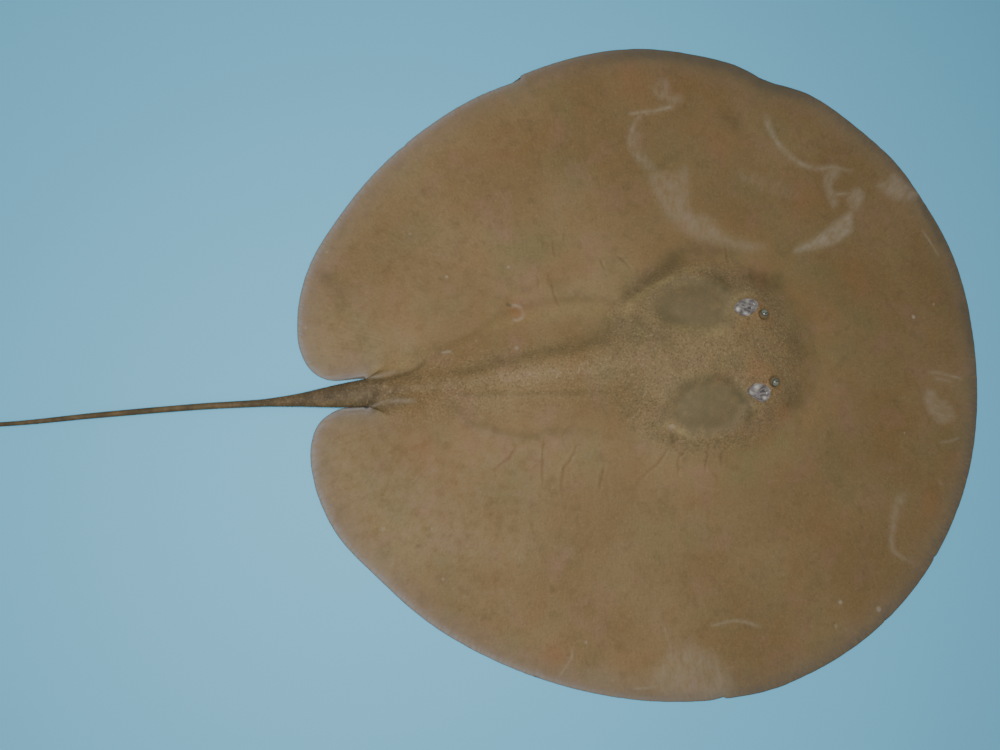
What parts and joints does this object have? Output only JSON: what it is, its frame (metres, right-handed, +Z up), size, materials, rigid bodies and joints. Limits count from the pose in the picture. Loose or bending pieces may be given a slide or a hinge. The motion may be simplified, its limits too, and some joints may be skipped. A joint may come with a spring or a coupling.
{
  "type": "freshwater stingray",
  "caption": "Life-size freshwater round ray lying flat: near-circular brown disc, low head with small eyes and pale spiracles, thin whip tail trailing behind.",
  "frame": {"origin": "on the floor under the middle of the disc", "axes": "+X forward to the snout, +Y to the animal's left, +Z up"},
  "size_m": [1.0192, 0.5599, 0.047],
  "materials": {
    "skin": "satin, finely granular, wet-looking brown hide",
    "tail_skin": "satin, darker grey-brown hide",
    "pale_skin": "smooth creamy white belly skin",
    "eye": "glossy dark eye with a greenish grey iris",
    "mucosa": "wet, pale grey lining of the breathing holes"
  },
  "bodies": {
    "root": {"head": "skin", "snout": "skin", "trunk": "skin", "pectoral_fin_left": "skin", "pectoral_fin_right": "skin", "chin": "pale_skin", "nasal_curtain": "pale_skin", "pelvic_fin_left": "pale_skin", "pelvic_fin_right": "pale_skin", "tail_base": "tail_skin", "tail_middle": "tail_skin", "tail_whip": "tail_skin", "tail_tip": "tail_skin", "eye_left": "eye", "eye_right": "eye", "spiracle_left": "mucosa", "spiracle_right": "mucosa"}
  },
  "joints": []
}
